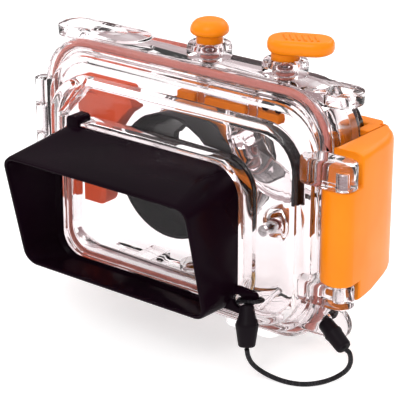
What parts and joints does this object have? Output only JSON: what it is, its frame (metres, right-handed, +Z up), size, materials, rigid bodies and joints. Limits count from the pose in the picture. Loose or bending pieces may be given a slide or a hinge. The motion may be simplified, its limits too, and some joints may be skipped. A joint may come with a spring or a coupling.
{
  "type": "underwater camera housing",
  "caption": "Clear waterproof case for a compact camera with a hinged rear door, a side latch, top controls, a display hood and a tethering cord.",
  "frame": {"origin": "middle of the bottom of the object's box, on the plane of the feet, cord left out", "axes": "+X towards the latch side, -Y towards the display side (the side pictured), +Y towards the lens port, +Z up"},
  "size_m": [0.182, 0.106, 0.1303],
  "materials": {
    "clear_shell": "clear, moulded",
    "window_glass": "clear, flat",
    "orange_plastic": "semi-gloss",
    "orange_rubber": "satin silicone",
    "cushion_foam": "satin silicone",
    "seal_rubber": "satin silicone",
    "black_gloss": "gloss",
    "black_rubber": "satin",
    "black_cord": "braided",
    "steel": "bright",
    "brass": "machined"
  },
  "bodies": {
    "case": {"main_case": "clear_shell", "foot_left": "clear_shell", "foot_right": "clear_shell", "power_gland": "clear_shell", "paddle_gland": "clear_shell", "inner_guard": "clear_shell", "lens_port_barrel": "clear_shell", "cushion_rail": "clear_shell", "lens_shroud": "black_gloss", "shroud_collar": "orange_plastic", "lens_window": "window_glass", "lens_window_seal": "seal_rubber", "lens_port_ring": "black_gloss", "lens_ring_screw_1": "steel", "lens_ring_screw_2": "steel", "lens_ring_screw_3": "steel", "lens_ring_screw_4": "steel", "camera_cradle": "orange_rubber", "top_cushion": "cushion_foam", "latch_catch": "orange_plastic", "tripod_insert": "brass", "hinge_pin": "steel", "power_button_seal": "seal_rubber", "power_button_spring": "steel", "paddle_seal": "seal_rubber", "paddle_spring": "steel", "front_button_seal": "seal_rubber", "front_button_spring": "steel"},
    "power_button": {"power_button_cap": "orange_plastic", "power_button_shaft": "steel", "power_button_clip": "steel"},
    "zoom": {"zoom_fork": "black_gloss"},
    "shutter": {"shutter_paddle": "orange_plastic", "paddle_shaft": "steel", "paddle_clip": "steel"},
    "front_button": {"front_button_cap": "orange_plastic", "front_button_shaft": "steel", "front_button_clip": "steel"},
    "door": {"rear_door": "clear_shell", "door_seal": "seal_rubber", "door_liner": "black_rubber", "display_window": "window_glass", "display_gasket": "seal_rubber", "latch_pin": "steel", "toggle_case_end": "black_rubber", "tie_case_end": "black_cord", "strap_cord": "black_cord"},
    "latch": {"latch": "orange_plastic"},
    "hood": {"display_hood": "black_gloss", "toggle_hood_end": "black_rubber", "tie_hood_end": "black_cord"}
  },
  "joints": [
    {"name": "door_hinge", "type": "hinge", "parent": "case", "child": "door", "pos_m": [-0.08415, 0.00516, 0.055], "axis": [0, 0, -1], "range_deg": [0, 115]},
    {"name": "latch_pivot", "type": "hinge", "parent": "door", "child": "latch", "pos_m": [0.08235, -0.00334, 0.055], "axis": [0, 0, -1], "range_deg": [0, 110]},
    {"name": "hood_pull", "type": "slide", "parent": "door", "child": "hood", "axis": [0, -1, 0], "range_m": [0, 0.03]},
    {"name": "power_press", "type": "slide", "parent": "case", "child": "power_button", "axis": [0, 0, -1], "range_m": [0, 0.0018], "stiffness_N_per_m": 1800, "springref_m": -0.0016, "deforming": ["power_button_spring"]},
    {"name": "zoom_turn", "type": "hinge", "parent": "case", "child": "zoom", "pos_m": [0.03935, 0.01666, 0.103], "axis": [0, 0, 1], "range_deg": [-20, 20], "stiffness_Nm_per_rad": 0.06},
    {"name": "shutter_press", "type": "slide", "parent": "zoom", "child": "shutter", "axis": [0, 0, -1], "range_m": [0, 0.0018], "stiffness_N_per_m": 1800, "springref_m": -0.0016, "deforming": ["paddle_spring"]},
    {"name": "front_press", "type": "slide", "parent": "case", "child": "front_button", "axis": [0, -1, 0], "range_m": [0, 0.0015], "stiffness_N_per_m": 1500, "springref_m": -0.0016}
  ]
}
